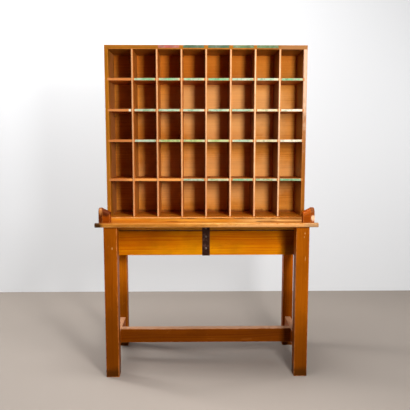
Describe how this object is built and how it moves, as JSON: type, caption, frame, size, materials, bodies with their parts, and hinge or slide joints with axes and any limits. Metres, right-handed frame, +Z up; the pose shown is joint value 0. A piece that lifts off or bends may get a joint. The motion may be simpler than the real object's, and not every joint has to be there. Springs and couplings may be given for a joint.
{
  "type": "sorting shelf",
  "caption": "Varnished timber sorting shelf: a pigeonhole cabinet on a legged table with an open work surface, low cheeks and a stretcher base.",
  "frame": {"origin": "on the floor under the middle of the tabletop", "axes": "+Z up, -Y towards the person at the work surface, +X to their right"},
  "size_m": [1.052, 0.49, 1.6115],
  "materials": {
    "grid_timber": "amber varnish, worn at the edges",
    "back_timber": "amber varnish, worn at the edges",
    "case_timber": "amber varnish, worn at the edges",
    "top_timber": "amber varnish, worn at the edges",
    "cheek_timber": "amber varnish, worn at the edges",
    "frame_timber": "amber varnish, worn at the edges",
    "strap_steel": "dark, slightly rusted",
    "screw_steel": "dulled"
  },
  "bodies": {
    "root": {"apron_lower": "frame_timber", "apron_upper": "frame_timber", "cabinet_back": "back_timber", "cabinet_bottom": "case_timber", "cabinet_side_left": "case_timber", "cabinet_side_right": "case_timber", "cabinet_top": "case_timber", "cheek_left": "cheek_timber", "cheek_right": "cheek_timber", "corner_block_left": "cheek_timber", "corner_block_right": "cheek_timber", "divider_1": "grid_timber", "divider_2": "grid_timber", "divider_3": "grid_timber", "divider_4": "grid_timber", "divider_5": "grid_timber", "divider_6": "grid_timber", "divider_7": "grid_timber", "leg_front_left": "frame_timber", "leg_front_right": "frame_timber", "leg_rear_left": "frame_timber", "leg_rear_right": "frame_timber", "long_stretcher": "frame_timber", "shelf_1": "grid_timber", "shelf_2": "grid_timber", "shelf_3": "grid_timber", "shelf_4": "grid_timber", "side_rail_left": "frame_timber", "side_rail_right": "frame_timber", "side_stretcher_left": "frame_timber", "side_stretcher_right": "frame_timber", "strap_screws": "screw_steel", "tabletop_board_1": "top_timber", "tabletop_board_2": "top_timber", "tabletop_board_3": "top_timber", "tabletop_board_4": "top_timber", "tabletop_board_5": "top_timber", "tabletop_nosing": "top_timber", "tie_strap": "strap_steel"}
  },
  "joints": []
}
